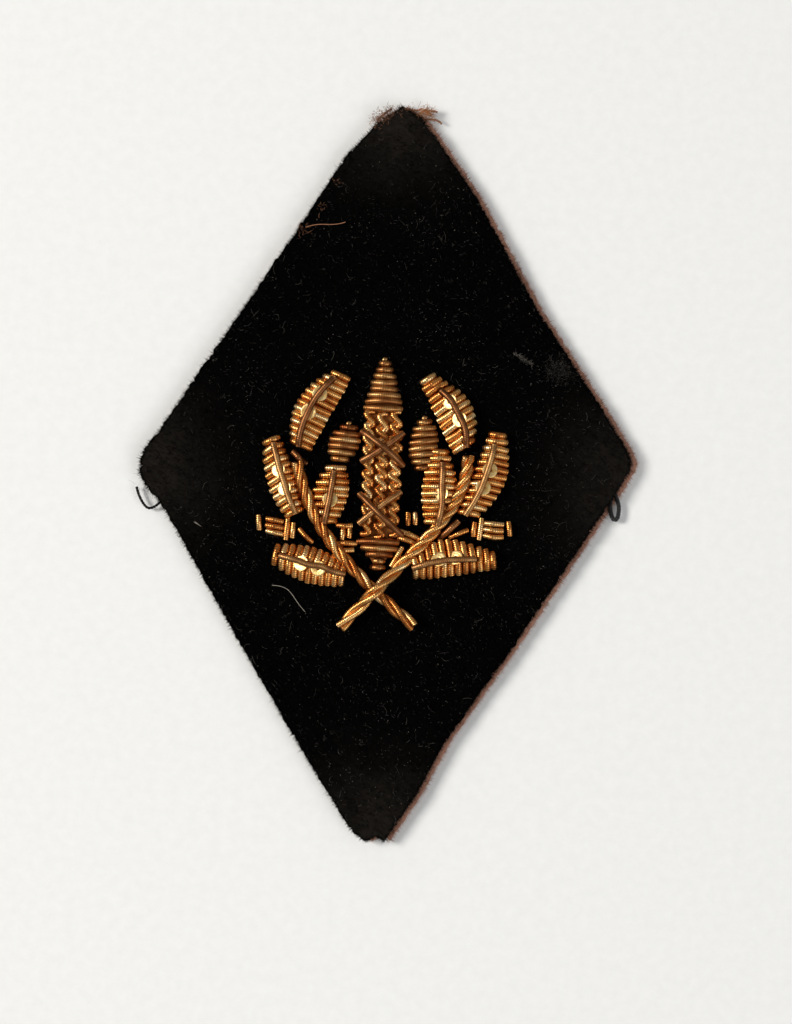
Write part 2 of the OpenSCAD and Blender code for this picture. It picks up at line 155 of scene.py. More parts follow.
def triangles_of(node):
    """A CAD node's points, merged where they coincide, and its triangles."""
    mesh = NODES[node].data
    mesh.calc_loop_triangles()
    corners = np.zeros(len(mesh.loop_triangles) * 3, int)
    mesh.loop_triangles.foreach_get("vertices", corners)
    points = points_of(mesh)
    keys = np.round(points / SAME_PLACE).astype(int)
    _, first, place = np.unique(keys, axis=0, return_index=True, return_inverse=True)
    triangles = place.reshape(-1)[corners].reshape(-1, 3)
    whole = (triangles != np.roll(triangles, 1, axis=1)).all(axis=1)
    return points[first], triangles[whole]


def joined(count, pairs):
    """The group number of each of count things, where each pair is in one group."""
    label = np.arange(count)
    while len(pairs):
        low = np.minimum(label[pairs[:, 0]], label[pairs[:, 1]])
        after = label.copy()
        np.minimum.at(after, pairs[:, 0], low)
        np.minimum.at(after, pairs[:, 1], low)
        after = after[after]
        if (after == label).all():
            break
        label = after
    return label


def edges_of(triangles):
    return np.concatenate([triangles[:, [0, 1]], triangles[:, [1, 2]], triangles[:, [2, 0]]])


def edge_pairs(triangles):
    """Pairs of triangles that share an edge."""
    edges = np.sort(edges_of(triangles), axis=1)
    owner = np.tile(np.arange(len(triangles)), 3)
    order = np.lexsort((edges[:, 1], edges[:, 0]))
    edges, owner = edges[order], owner[order]
    same = (edges[1:] == edges[:-1]).all(axis=1)
    return np.stack([owner[:-1][same], owner[1:][same]], axis=1)


def tubes(node):
    """A node's points, and for each of its solids that is a tube its triangles and its two round ends.

    An end is (centre, outward normal, radius).
    """
    points, triangles = triangles_of(node)
    a, b, c = (points[triangles[:, k]] for k in range(3))
    normals = unit(np.cross(b - a, c - a))
    pairs = edge_pairs(triangles)
    solid = joined(len(triangles), pairs)
    flat = (normals[pairs[:, 0]] * normals[pairs[:, 1]]).sum(axis=1) > SAME_PLANE
    face = joined(len(triangles), pairs[flat])
    ends = {}
    for number, size in zip(*np.unique(face, return_counts=True)):
        if size < LEAST_CAP_FACES:
            continue
        members = np.flatnonzero(face == number)
        rim = points[np.unique(triangles[members])]
        centre = rim.mean(axis=0)
        reach = np.linalg.norm(rim - centre, axis=1)
        if len(rim) >= LEAST_CAP_CORNERS and reach.std() < ROUND_ENOUGH * reach.mean():
            end = (centre, normals[members].mean(axis=0), reach.mean())
            ends.setdefault(solid[members[0]], []).append(end)
    whole = [number for number in sorted(ends) if len(ends[number]) == 2]
    return points, [(triangles[solid == number], ends[number]) for number in whole]


def arc(ends):
    """Points along the arc whose end discs are given."""
    (a, out_a, _), (b, _, _) = ends
    chord = b - a
    along = -unit(out_a)
    side = unit(chord) - (unit(chord) @ along) * along
    bend = np.linalg.norm(side)
    if bend < LEAST_BEND:
        count = max(int(np.linalg.norm(chord) / ARC_STEP), 3)
        return a + chord * np.linspace(0, 1, count + 1)[:, None]
    half = math.asin(min(bend, 1))
    radius = np.linalg.norm(chord) / 2 / bend
    side /= bend
    count = max(int(2 * half * radius / ARC_STEP), 3)
    turn = np.linspace(0, 2 * half, count + 1)[:, None]
    return a + radius * side + radius * (along * np.sin(turn) - side * np.cos(turn))


def ring_centres(points, triangles, end):
    """Centres of the rings of a swept tube, from one end disc to the other."""
    edges = edges_of(triangles)
    centre, _, radius = end
    used = np.unique(triangles)
    near = used[np.linalg.norm(points[used] - centre, axis=1) < radius * 1.03]
    level = np.full(len(points), -1)
    level[near] = 0
    step = 0
    while (level[used] < 0).any():
        reached = level == step
        touching = np.concatenate([edges[reached[edges[:, 0]], 1], edges[reached[edges[:, 1]], 0]])
        fresh = touching[level[touching] < 0]
        if not len(fresh):
            break
        step += 1
        level[fresh] = step
    return np.array([points[used][level[used] == k].mean(axis=0) for k in range(step + 1)])


# ---- mesh building

def spaced(path, step):
    """The path again, with points evenly spaced at about the step."""
    way = way_along(path)
    count = max(int(way[-1] / step), 3)
    places = np.linspace(0, way[-1], count + 1)
    return np.stack([np.interp(places, way, path[:, k]) for k in range(3)], axis=1)


def smooth(path, rounds):
    """The path with its inner points averaged with their neighbours."""
    path = path.copy()
    for _ in range(rounds):
        path[1:-1] = path[1:-1] / 2 + (path[:-2] + path[2:]) / 4
    return path


def frames(path):
    """Two unit vectors square to the path at each point, turning as little as they can."""
    tangent = unit(np.gradient(path, axis=0))
    first = np.array([0.0, 0.0, 1.0])
    if abs(tangent[0] @ first) > 0.9:
        first = np.array([0.0, 1.0, 0.0])
    ups = []
    for ahead in tangent:
        first = unit(first - (first @ ahead) * ahead)
        ups.append(first)
    up = np.array(ups)
    return up, np.cross(tangent, up), tangent


def waves(points, size, seed):
    """A smooth random value from -1 to 1 at each point, that changes over about the given size."""
    source = np.random.default_rng(seed)
    total = np.zeros(len(points))
    for _ in range(WAVE_COUNT):
        direction = source.normal(size=3)
        direction *= source.uniform(0.6, 1.6) / np.linalg.norm(direction)
        total += np.sin(points @ direction * (2 * np.pi / size) + source.uniform(0, 6.3))
    return total / math.sqrt(WAVE_COUNT)


class Shape:
    """Gathers points, faces and a colour attribute, and makes one object of them."""

    def __init__(self):
        self.points, self.marks, self.count = [], [], 0
        self.quads, self.tris = [np.zeros((0, 4), int)], [np.zeros((0, 3), int)]

    def add(self, points, marks, quads=None, tris=None):
        """Takes points, three marks for each, and faces given by places among these points."""
        if quads is not None:
            self.quads.append(quads + self.count)
        if tris is not None:
            self.tris.append(tris + self.count)
        self.points.append(points)
        self.marks.append(marks)
        self.count += len(points)

    def make(self, name, material, stands_for=(), smooth_faces=True):
        points, marks, quads, tris = map(np.concatenate, (self.points, self.marks, self.quads, self.tris))
        mesh = bpy.data.meshes.new(name)
        mesh.vertices.add(len(points))
        mesh.vertices.foreach_set("co", points.reshape(-1).astype(np.float32))
        mesh.loops.add(quads.size + tris.size)
        corners = np.concatenate([quads.reshape(-1), tris.reshape(-1)])
        mesh.loops.foreach_set("vertex_index", corners.astype(np.int32))
        mesh.polygons.add(len(quads) + len(tris))
        starts = np.concatenate([np.arange(len(quads)) * 4, quads.size + np.arange(len(tris)) * 3])
        mesh.polygons.foreach_set("loop_start", starts.astype(np.int32))
        mesh.polygons.foreach_set("use_smooth", np.full(len(quads) + len(tris), smooth_faces))
        marks = np.concatenate([marks, np.ones((len(points), 1))], axis=1)
        layer = mesh.attributes.new("marks", "FLOAT_COLOR", "POINT")
        layer.data.foreach_set("color", marks.reshape(-1).astype(np.float32))
        mesh.update()
        mesh.validate()
        return placed(bpy.data.objects.new(name, mesh), material, stands_for)


def placed(piece, material, stands_for=()):
    """Links a piece, gives it its material, and lets it ride on the badge."""
    if piece.name not in bpy.context.scene.collection.objects:
        bpy.context.scene.collection.objects.link(piece)
    piece.data.materials.clear()
    piece.data.materials.append(material)
    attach(piece, BODY)
    if stands_for:
        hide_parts(*stands_for)
    return piece


def add_tube(shape, path, radius, tone, pitch=WIND_PITCH, depth=WIND_DEPTH, sides=TUBE_SIDES,
             bore=BORE_SHARE):
    """A wound tube along the path: a helical ridge on its outside and a short open bore at each end.

    marks hold how deep in a groove a point lies, the tone of this length and its share of the way along.
    """
    path = spaced(path, pitch / RINGS_PER_WIND)
    up, side, tangent = frames(path)
    rings = len(path)
    way = way_along(path)
    angle = np.arange(sides) / sides * 2 * np.pi
    phase = way[:, None] / pitch - angle[None, :] / (2 * np.pi)
    groove = 1 - np.abs(np.cos(np.pi * phase)) ** 0.6
    reach = radius - depth * groove
    circle = np.cos(angle)[None, :, None] * side[:, None, :] + np.sin(angle)[None, :, None] * up[:, None, :]
    points = path[:, None, :] + reach[:, :, None] * circle
    share = np.broadcast_to((way / way[-1])[:, None], groove.shape)
    marks = np.stack([groove, np.full(groove.shape, tone), share], axis=-1)
    inner = []
    for end, inward in ((0, 1), (-1, -1)):
        for sunk in (0, 0.35):
            centre = path[end] + inward * tangent[end] * radius * sunk
            inner.append(centre + radius * bore * circle[end])
    points = np.concatenate([points.reshape(-1, 3), *inner])
    # The bore points are marked as deepest in a groove, so the gold paints painted shade inside each bore.
    dark = np.tile([1.0, tone, 0.5], (4 * sides, 1))
    corner = np.arange(sides)
    after = (corner + 1) % sides

    def band(first, second):
        """The faces between two rings, given by the places of their first points."""
        faces = [first + corner, first + after, second + after, second + corner]
        return np.stack(faces, axis=-1).reshape(-1, 4)

    starts = np.arange(rings - 1)[:, None] * sides
    start_rim, start_floor, end_rim, end_floor = rings * sides + np.arange(4) * sides
    quads = np.concatenate([
        band(starts, starts + sides), band(start_rim, 0), band(start_floor, start_rim),
        band((rings - 1) * sides, end_rim), band(end_rim, end_floor),
    ])
    fan = np.stack([np.zeros(sides - 2, int), np.arange(1, sides - 1), np.arange(2, sides)], axis=-1)
    caps = np.concatenate([start_floor + fan[:, ::-1], end_floor + fan])
    shape.add(points, np.concatenate([marks.reshape(-1, 3), dark]), quads, caps)


# ---- materials

def new_material(name):
    material = bpy.data.materials.new(name)
    material.use_nodes = True
    tree = material.node_tree
    return material, tree, tree.nodes["Principled BSDF"]


def fill(tree, socket, value):
    """Links value to the socket if it is a node's output, and sets the socket to it if not."""
    if isinstance(value, bpy.types.NodeSocket):
        tree.links.new(value, socket)
    elif isinstance(value, tuple):
        socket.default_value = (*value, 1)
    else:
        socket.default_value = value


def dress(tree, node, **inputs):
    """Fills a node's sockets, which are named with underscores for spaces."""
    for name, value in inputs.items():
        fill(tree, node.inputs[name.replace("_", " ")], value)


def noise(tree, scale, detail, roughness):
    """Noise with the given number of features per metre."""
    where = tree.nodes.new("ShaderNodeTexCoord")
    made = tree.nodes.new("ShaderNodeTexNoise")
    dress(tree, made, Scale=scale, Detail=detail, Roughness=roughness, Vector=where.outputs["Object"])
    return made.outputs["Fac"]


def ramp(tree, value, *stops):
    """A colour ramp over value; each stop is (place, colour)."""
    made = tree.nodes.new("ShaderNodeValToRGB")
    band = made.color_ramp
    while len(band.elements) < len(stops):
        band.elements.new(0.5)
    for element, (place, colour) in zip(band.elements, stops):
        element.position = place
        element.color = (*colour, 1)
    tree.links.new(value, made.inputs["Fac"])
    return made.outputs["Color"]


# Places of a colour mix node's factor, two colours and result among its sockets
MIX_INPUTS = (0, 6, 7)
MIX_RESULT = 2


def mixed(tree, share, first, second, blend="MIX"):
    """Two colours mixed by share."""
    made = tree.nodes.new("ShaderNodeMix")
    made.data_type = "RGBA"
    made.blend_type = blend
    for place, value in zip(MIX_INPUTS, (share, first, second)):
        fill(tree, made.inputs[place], value)
    return made.outputs[MIX_RESULT]


def maths(tree, operation, first, second, third=0.0):
    made = tree.nodes.new("ShaderNodeMath")
    made.operation = operation
    for socket, value in zip(made.inputs, (first, second, third)):
        fill(tree, socket, value)
    return made.outputs[0]


def sum_of(tree, first, second):
    """The sum of two values, each given with its weight."""
    return maths(tree, "ADD", maths(tree, "MULTIPLY", *first), maths(tree, "MULTIPLY", *second))


def bump(tree, height, strength, distance):
    made = tree.nodes.new("ShaderNodeBump")
    dress(tree, made, Strength=strength, Distance=distance, Height=height)
    return made.outputs["Normal"]


def marks_of(tree):
    """The piece's marks, as three values."""
    attribute = tree.nodes.new("ShaderNodeAttribute")
    attribute.attribute_name = "marks"
    parts = tree.nodes.new("ShaderNodeSeparateColor")
    tree.links.new(attribute.outputs["Color"], parts.inputs["Color"])
    return parts.outputs[0], parts.outputs[1], parts.outputs[2]


def gold_material(name, shades, groove_shade_and_reflection, rough):
    """Aged gilt wire: tarnished in patches, worn yellow elsewhere, with painted shade and a painted red
    reflection in the grooves and bores.
    """
    material, tree, surface = new_material(name)
    groove, tone, _ = marks_of(tree)
    patches = noise(tree, 800, 5, 0.65)
    fine = noise(tree, 5200, 3, 0.6)
    metal = ramp(tree, sum_of(tree, (patches, 0.75), (tone, 0.3)), *zip((0.3, 0.46, 0.6, 0.8), shades))
    speck = ramp(tree, fine, (0.36, (0.55, 0.5, 0.45)), (0.6, (1, 1, 1)))
    metal = mixed(tree, 0.6, metal, speck, "MULTIPLY")
    # Painted shade and painted red reflection: the deeper a point lies in a groove or bore, the more it takes
    # the groove colour.
    metal = mixed(tree, maths(tree, "MULTIPLY", groove, 0.8), metal, groove_shade_and_reflection)
    dress(tree, surface, Base_Color=metal, Roughness=maths(tree, "MULTIPLY_ADD", fine, 0.22, rough),
          Metallic=1.0, Normal=bump(tree, fine, 0.25, 0.02 * MM))
    return material


def sequin_material():
    """Pale gilt sheet, creased and finely scratched."""
    material, tree, surface = new_material("pale_sequin")
    _, tone, _ = marks_of(tree)
    stain = noise(tree, 1400, 5, 0.7)
    metal = ramp(tree, stain, (0.36, (0.85, 0.47, 0.13)), (0.5, (1.0, 0.7, 0.28)),
                 (0.68, (1.0, 0.88, 0.52)))
    metal = mixed(tree, maths(tree, "MULTIPLY", tone, 0.3), metal, (0.85, 0.48, 0.15))
    scratches = noise(tree, 7000, 2, 0.5)
    creases = noise(tree, 1900, 2, 0.4)
    relief = maths(tree, "ADD", creases, scratches)
    dress(tree, surface, Base_Color=metal, Roughness=maths(tree, "MULTIPLY_ADD", scratches, 0.26, 0.28),
          Metallic=1.0, Normal=bump(tree, relief, 0.5, 0.06 * MM))
    return material


def cloth_material(name, dark, light, scale, sheen=0.0, depth=0.05, use_marks=False, rough=0.9, specular=0.2):
    """A dull fibrous surface between two colours."""
    material, tree, surface = new_material(name)
    grain = noise(tree, scale, 6, 0.7)
    wide = noise(tree, scale / 14, 3, 0.5)
    value = sum_of(tree, (grain, 0.6), (wide, 0.4))
    if use_marks:
        _, tone, _ = marks_of(tree)
        value = maths(tree, "ADD", value, maths(tree, "MULTIPLY_ADD", tone, 0.5, -0.25))
    dress(tree, surface, Base_Color=ramp(tree, value, (0.35, dark), (0.68, light)), Roughness=rough,
          Specular_IOR_Level=specular, Sheen_Weight=sheen, Normal=bump(tree, grain, 0.6, depth * MM))
    return material


def velvet_material():
    """Black pile: nearly black, with painted sheen that lightens the tips, a painted glint on a few fibre
    tips, and a little lighter where it is worn.
    """
    material, tree, surface = new_material("black_velvet")
    worn, tone, tip = marks_of(tree)
    grain = noise(tree, 2400, 5, 0.7)
    wide = noise(tree, 260, 4, 0.6)
    value = sum_of(tree, (grain, 0.55), (wide, 0.3))
    value = maths(tree, "ADD", value, maths(tree, "MULTIPLY_ADD", tone, 0.34, -0.1))
    colour = ramp(tree, value, (0.38, (0.0001, 0.0001, 0.0001)), (0.62, (0.0005, 0.0005, 0.0005)),
                  (0.86, (0.006, 0.0058, 0.0055)))
    # Painted sheen: the tips of the pile are painted a little lighter.
    colour = mixed(tree, maths(tree, "MULTIPLY", tip, 0.2), colour, (0.005, 0.0048, 0.0045))
    # Painted glint: a few fibre tips take a pale grey.
    glint = maths(tree, "MULTIPLY", maths(tree, "POWER", tone, 12), tip)
    colour = mixed(tree, glint, colour, (0.085, 0.08, 0.072))
    share = maths(tree, "MULTIPLY", worn, maths(tree, "MULTIPLY", wide, 0.9))
    colour = mixed(tree, share, colour, (0.026, 0.0215, 0.0175))
    dress(tree, surface, Base_Color=colour, Roughness=0.9, Specular_IOR_Level=0.015, Sheen_Weight=0.003,
          Normal=bump(tree, grain, 0.6, 0.05 * MM))
    return material


def weave_material(name, dark, light, thread):
    """Plain weave, as crossing waves of the thread's width."""
    material, tree, surface = new_material(name)
    where = tree.nodes.new("ShaderNodeTexCoord")
    heights = []
    for direction in ("X", "Y"):
        wave = tree.nodes.new("ShaderNodeTexWave")
        wave.wave_type = "BANDS"
        wave.bands_direction = direction
        dress(tree, wave, Scale=1 / thread / 6.4, Distortion=1.5, Detail_Scale=3,
              Vector=where.outputs["Object"])
        heights.append(wave.outputs["Fac"])
    cloth = maths(tree, "MAXIMUM", heights[0], heights[1])
    fibre = noise(tree, 3000, 4, 0.6)
    value = maths(tree, "MULTIPLY_ADD", cloth, 0.6, maths(tree, "MULTIPLY", fibre, 0.4))
    dress(tree, surface, Base_Color=ramp(tree, value, (0.3, dark), (0.8, light)), Roughness=0.85,
          Normal=bump(tree, value, 0.8, 0.08 * MM))
    return material


def paper_material():
    """Plain pale paper for the badge to lie on."""
    material, tree, surface = new_material("paper")
    grain = noise(tree, 700, 5, 0.6)
    colour = ramp(tree, grain, (0.3, (0.86, 0.86, 0.84)), (0.7, (0.9, 0.9, 0.88)))
    dress(tree, surface, Base_Color=colour, Roughness=0.8)
    return material


# The last colour given to each gold is the painted shade and painted red reflection of its grooves and bores.
GOLD = gold_material("gold_purl", ((0.42, 0.13, 0.028), (0.76, 0.32, 0.08), (0.95, 0.53, 0.18),
                                   (1.0, 0.82, 0.46)), (0.3, 0.08, 0.018), 0.17)
WORN_GOLD = gold_material("worn_gold_purl", ((0.24, 0.075, 0.022), (0.41, 0.168, 0.052), (0.6, 0.3, 0.1),
                                             (0.86, 0.56, 0.25)), (0.12, 0.03, 0.008), 0.24)
DULL_GOLD = gold_material("dull_gold_purl", ((0.19, 0.072, 0.026), (0.37, 0.155, 0.058), (0.52, 0.26, 0.095),
                                             (0.8, 0.48, 0.19)), (0.09, 0.028, 0.009), 0.25)
SEQUIN = sequin_material()
VELVET = velvet_material()
FELT = cloth_material("backing_felt", (0.23, 0.1, 0.065), (0.6, 0.31, 0.21), 1800, sheen=0.15, depth=0.08)
FUZZ = cloth_material("backing_fuzz", (0.2, 0.09, 0.06), (0.6, 0.32, 0.21), 1800, use_marks=True)
# The padding's orange-red is partly its own felt colour and partly painted reflection of the gold between the
# rows.
PADDING = cloth_material("padding_felt", (0.16, 0.045, 0.008), (0.38, 0.14, 0.03), 2200, depth=0.06)
LINEN = weave_material("interlining_linen", (0.3, 0.26, 0.19), (0.6, 0.55, 0.44), 0.35 * MM)
COTTON = cloth_material("sewing_thread", (0.35, 0.22, 0.07), (0.7, 0.5, 0.22), 4000)
BLACKS = ((0.004, 0.004, 0.004), (0.02, 0.019, 0.018))
BLACK_YARN = cloth_material("black_thread", *BLACKS, 4000, specular=0.1)
GLOSSY_YARN = cloth_material("glossy_black_thread", *BLACKS, 4000, rough=0.45, specular=0.4)
BROWN_YARN = cloth_material("frayed_thread", (0.09, 0.036, 0.02), (0.4, 0.185, 0.1), 4000, use_marks=True)
LINT = cloth_material("lint", (0.006, 0.0057, 0.005), (0.22, 0.195, 0.165), 3000, use_marks=True)
TUFT = cloth_material("tuft", (0.2, 0.075, 0.03), (0.62, 0.29, 0.13), 3000, use_marks=True)
HAIR = cloth_material("pale_hair", (0.3, 0.27, 0.22), (0.55, 0.5, 0.42), 3000)
PAPER = paper_material()


# ---- gold

def jittered(path, sideways, lift=0.0):
    """The path with a small sideways bend and drop of its own, as hand-laid purl has."""
    path = path.copy()
    length = np.linalg.norm(path[-1] - path[0])
    across = unit(np.cross(path[-1] - path[0], [0, 0, 1.0]))
    share = np.linspace(0, 1, len(path))
    bend = rng.normal(0, sideways) * np.sin(np.pi * share) + rng.normal(0, sideways) * (share - 0.5)
    path += across * (bend * min(length / (2 * MM), 1.5))[:, None]
    path[:, 2] += rng.normal(0, lift) * np.sin(np.pi * share)
    return path


def trimmed(path, start, end):
    """The path with its ends cut back by the given lengths, or carried on if they are below nought."""
    first = path[0] + unit(path[1] - path[0]) * start
    last = path[-1] + unit(path[-2] - path[-1]) * end
    way = way_along(path)
    inner = path[(way > max(start, 0)) & (way < way[-1] - max(end, 0))]
    return np.concatenate([first[None], inner, last[None]]) if len(inner) > 1 else path


def gold_rows(node, name, material=GOLD, sideways=0.035 * MM, uneven=0.07 * MM, dip=0.0, sway=0.0, extra=(),
              swell=SWELL):
    """Rebuilds each straight or bowed length of a node as wound purl.

    dip is how far both ends sink, sway how far the length wanders, extra holds further paths, and
    swell is how much wider the purl is than its plain stand-in.
    """
    shape = Shape()
    for number, (_, ends) in enumerate(tubes(node)[1]):
        path = arc(ends)
        radius = ends[0][2]
        path = trimmed(path, rng.normal(0, uneven), rng.normal(0, uneven))
        path = jittered(path, sideways, 0.02 * MM)
        share = np.linspace(0, 1, len(path))
        length = np.linalg.norm(path[-1] - path[0])
        near = np.minimum(share, 1 - share) * length / DIP_REACH
        path[:, 2] -= dip * np.exp(-near ** 2)
        fade = np.sin(np.pi * share)[:, None]
        path[:, :2] += fade * sway * waves(path, SWAY_SIZE, 50 + number)[:, None]
        add_tube(shape, path, radius * swell, rng.random())
    for path in extra:
        add_tube(shape, path, radius * 0.8, 0.9)
    return shape.make(name, material, (node,))


def link_path(ends):
    """A length of purl bent like the letter S, over the middle of the plain link."""
    (a, _, _), (b, _, _) = ends
    middle = (a + b) / 2
    half_wide = LINK_HALF_W * rng.normal(1, 0.07)
    half_h = LINK_HALF_H * rng.normal(1, 0.05)
    turn = np.linspace(-1, 1, 60)
    x = half_wide * np.sin(np.pi * 1.3 * turn)
    y = -half_h * np.sin(np.pi / 2 * np.clip(turn * 1.15, -1.3, 1.3))
    z = LINK_RISE * np.cos(np.pi / 2 * turn) ** 0.8 - LINK_SINK
    lean = rng.normal(0, 0.07)
    across = x * math.cos(lean) - y * math.sin(lean)
    up = x * math.sin(lean) + y * math.cos(lean)
    return middle + np.stack([across, up, z], axis=1)


def gold_links(node, name):
    """Rebuilds a rod of slanted links as nested S-shaped links."""
    shape = Shape()
    for _, ends in tubes(node)[1]:
        add_tube(shape, link_path(ends), LINK_RADIUS * rng.normal(1, 0.04), rng.random())
    return shape.make(name, GOLD, (node,))


def gold_strands(node, name):
    """Rebuilds the twisted strands of a stem."""
    shape = Shape()
    points, found = tubes(node)
    for triangles, ends in found:
        path = smooth(ring_centres(points, triangles, ends[0]), 2)
        add_tube(shape, path, ends[0][2] * STRAND_SWELL, rng.random())
    return shape.make(name, GOLD, (node,))


def knot(node, lift=0.25 * MM):
    """A small loop of purl end on top of a node's highest row."""
    rows = [(ends[0][0] + ends[1][0]) / 2 for _, ends in tubes(node)[1]]
    top = max(rows, key=lambda place: place[1]) + [0, KNOT_ABOVE, lift]
    turn = np.linspace(0.2 * np.pi, 1.7 * np.pi, 14)[:, None]
    return top + KNOT_RADIUS * (np.cos(turn) * [1, 0, 0] + np.sin(turn) * [0, 0.75, 0.5])


# Corners of a sequin's section, over the top and back below: shares of the hole and of the rim, and the side
SECTION = ((1, 0, 0), (1.15, 0, 1), (0, 0.45, 1), (0, 0.75, 1), (0, 0.95, 1), (0, 1, 0),
           (0, 0.96, -1), (0, 0.75, -1), (0, 0.45, -1), (1.15, 0, -1))


def add_sequin(shape, points):
    """A pierced, slightly dished and folded disc where the points of a flat one lie."""
    centre = points.mean(axis=0)
    across, along = np.linalg.svd(points - centre, full_matrices=False)[2][:2]
    normal = np.cross(across, along)
    normal *= np.sign(normal[2])
    normal = unit(normal + SEQUIN_LEAN + rng.normal(0, 0.07, 3))
    across = unit(across - (across @ normal) * normal)
    along = np.cross(normal, across)
    offset = points - centre
    radius = np.abs(offset @ across).max()
    hole = np.linalg.norm(offset - (offset @ normal)[:, None] * normal, axis=1).min()
    dish = SEQUIN_DISH * rng.normal(1, 0.4)
    holes, radii, side = np.array(SECTION).T
    reach = holes * hole + radii * radius
    height = side * SEQUIN_WALL + dish * ((reach / radius) ** 2 - 0.3)
    turn = np.arange(SEQUIN_SEGMENTS)[:, None] / SEQUIN_SEGMENTS * 2 * np.pi
    wobble = 1 + 0.012 * np.sin(3 * turn + rng.random() * 6)
    fold = rng.normal(0, 0.02) * MM * np.sin(2 * turn)
    height = height + fold * (reach / radius) ** 2
    ring = np.cos(turn) * across + np.sin(turn) * along
    body = centre + [0, 0, SEQUIN_LIFT] + (reach * wobble)[:, :, None] * ring[:, None, :]
    body = body + height[:, :, None] * normal
    corners = len(SECTION)
    here = np.arange(SEQUIN_SEGMENTS)[:, None] * corners
    there = np.roll(here, -1, axis=0)
    corner = np.arange(corners)
    after = (corner + 1) % corners
    quads = np.stack([here + corner, there + corner, there + after, here + after], axis=-1).reshape(-1, 4)
    shape.add(body.reshape(-1, 3), np.tile([0, rng.random(), 0], (here.size * corners, 1)), quads)


def sequins(node, name):
    """Rebuilds each of a node's discs."""
    points, triangles = triangles_of(node)
    solid = joined(len(triangles), edge_pairs(triangles))
    shape = Shape()
    for number in np.unique(solid):
        add_sequin(shape, points[np.unique(triangles[solid == number])])
    return shape.make(name, SEQUIN, (node,))


for leaf in ending("_midrib", "_midrib"):
    gold_rows(leaf + "_purls", leaf + "_gold_rows", uneven=0.045 * MM, swell=LEAF_SWELL)
    gold_rows(leaf + "_midrib", leaf + "_gold_midrib", DULL_GOLD, 0.05 * MM, 0.05 * MM, 0.5 * MM, 0.1 * MM)
    sequins(leaf + "_sequins", leaf + "_gilt_sequins")
for bud in ending("_bud_purls", "_purls"):
    gold_rows(bud + "_purls", bud + "_gold_rows", WORN_GOLD, extra=[knot(bud + "_purls")])
gold_rows("finial_purls", "finial_gold_rows", WORN_GOLD, extra=[knot("finial_purls", 0.0)])
gold_rows("foot_purls", "foot_gold_rows", WORN_GOLD, uneven=0.15 * MM)
for rod in ending("_rod"):
    gold_links(rod, rod + "_gold_links")
for lacing in ending("_lacing"):
    gold_rows(lacing, lacing + "_gold", DULL_GOLD, 0.08 * MM, 0.05 * MM, 0.2 * MM)
for stem in ending("_stem"):
    gold_strands(stem, stem + "_gold_strands")
for hilt in ending("_hilt"):
    gold_rows(hilt, hilt + "_gold", GOLD, 0.05 * MM, 0.06 * MM, 0.15 * MM)


# ---- cloth and felt

def remeshed(node, name, voxel, rounds):
    """A copy of a CAD solid with even faces and softened edges."""
    piece = bpy.data.objects.new(name, NODES[node].data.copy())
    bpy.context.scene.collection.objects.link(piece)
    remesh = piece.modifiers.new("even", "REMESH")
    remesh.mode = "VOXEL"
    remesh.voxel_size = voxel
    piece.modifiers.new("soft", "SMOOTH").iterations = rounds
    graph = bpy.context.evaluated_depsgraph_get()
    even = bpy.data.meshes.new_from_object(piece.evaluated_get(graph))
    piece.modifiers.clear()
    piece.data = even
    even.name = name
    even.polygons.foreach_set("use_smooth", np.ones(len(even.polygons), bool))
    layer = even.attributes.new("marks", "FLOAT_COLOR", "POINT")
    layer.data.foreach_set("color", np.full(len(even.vertices) * 4, 0.5, np.float32))
    return piece


def moved(piece, change):
    """Moves a piece's points to what change returns for them."""
    points = change(points_of(piece.data))
    piece.data.vertices.foreach_set("co", points.reshape(-1).astype(np.float32))
    piece.data.update()


def outline_of(node):
    """The corners of a cloth's outline, in order round it."""
    points, _ = triangles_of(node)
    rim = points[points[:, 2] < points[:, 2].min() + 0.01 * MM][:, :2]
    return rim[np.argsort(np.arctan2(rim[:, 1], rim[:, 0]))]


def inside(points, outline):
    """Which of the points lie inside the outline."""
    x, y = points.T
    found = np.zeros(len(points), bool)
    for a, b in zip(outline, np.roll(outline, -1, axis=0)):
        crosses = (a[1] > y) != (b[1] > y)
        reach = a[0] + (y - a[1]) * (b[0] - a[0]) / (b[1] - a[1] if b[1] != a[1] else TINY)
        found ^= crosses & (x < reach)
    return found


def edge_distance(points, outline):
    """How far each point is from the nearest edge of the outline."""
    nearest = np.full(len(points), 1.0)
    for a, b in zip(outline, np.roll(outline, -1, axis=0)):
        run = b - a
        share = np.clip((points - a) @ run / (run @ run), 0, 1)
        nearest = np.minimum(nearest, np.linalg.norm(points - a - share[:, None] * run, axis=1))
    return nearest


def wear(points):
    """How worn the pile is at each point: most at the four corners."""
    corners = np.array([(0, HIGH.y), (0, LOW.y), (LOW.x, 0), (HIGH.x, 0)])
    away = np.min([np.linalg.norm(points[:, :2] - corner, axis=1) for corner in corners], axis=0)
    return np.exp(-(away / (9 * MM)) ** 2)


def cloth_sheet(node, name, voxel, material, change):
    """Rebuilds a cloth as a soft sheet."""
    piece = remeshed(node, name, voxel, 2)
    moved(piece, change)
    placed(piece, material, (node,))
    outline = outline_of(node)
    return piece


def backing_change(points):
    low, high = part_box("backing_cloth")
    lumps = waves(points, 0.7 * MM, 1) * 0.03 * MM + waves(points, 3 * MM, 2) * 0.03 * MM
    share = (points[:, 2] - low.z) / (high.z - low.z)
    edge = waves(points * [1, 1, 0.2], 1.3 * MM, 3) * 0.12 * MM
    side = np.exp(-((share - 0.5) / 0.3) ** 2)
    points[:, :2] += unit(points[:, :2]) * (edge * side)[:, None]
    points[:, 2] = np.maximum(points[:, 2] + lumps, low.z)
    return points


def interlining_change(points):
    points[:, 2] += waves(points, 0.5 * MM, 4) * 0.008 * MM
    return points


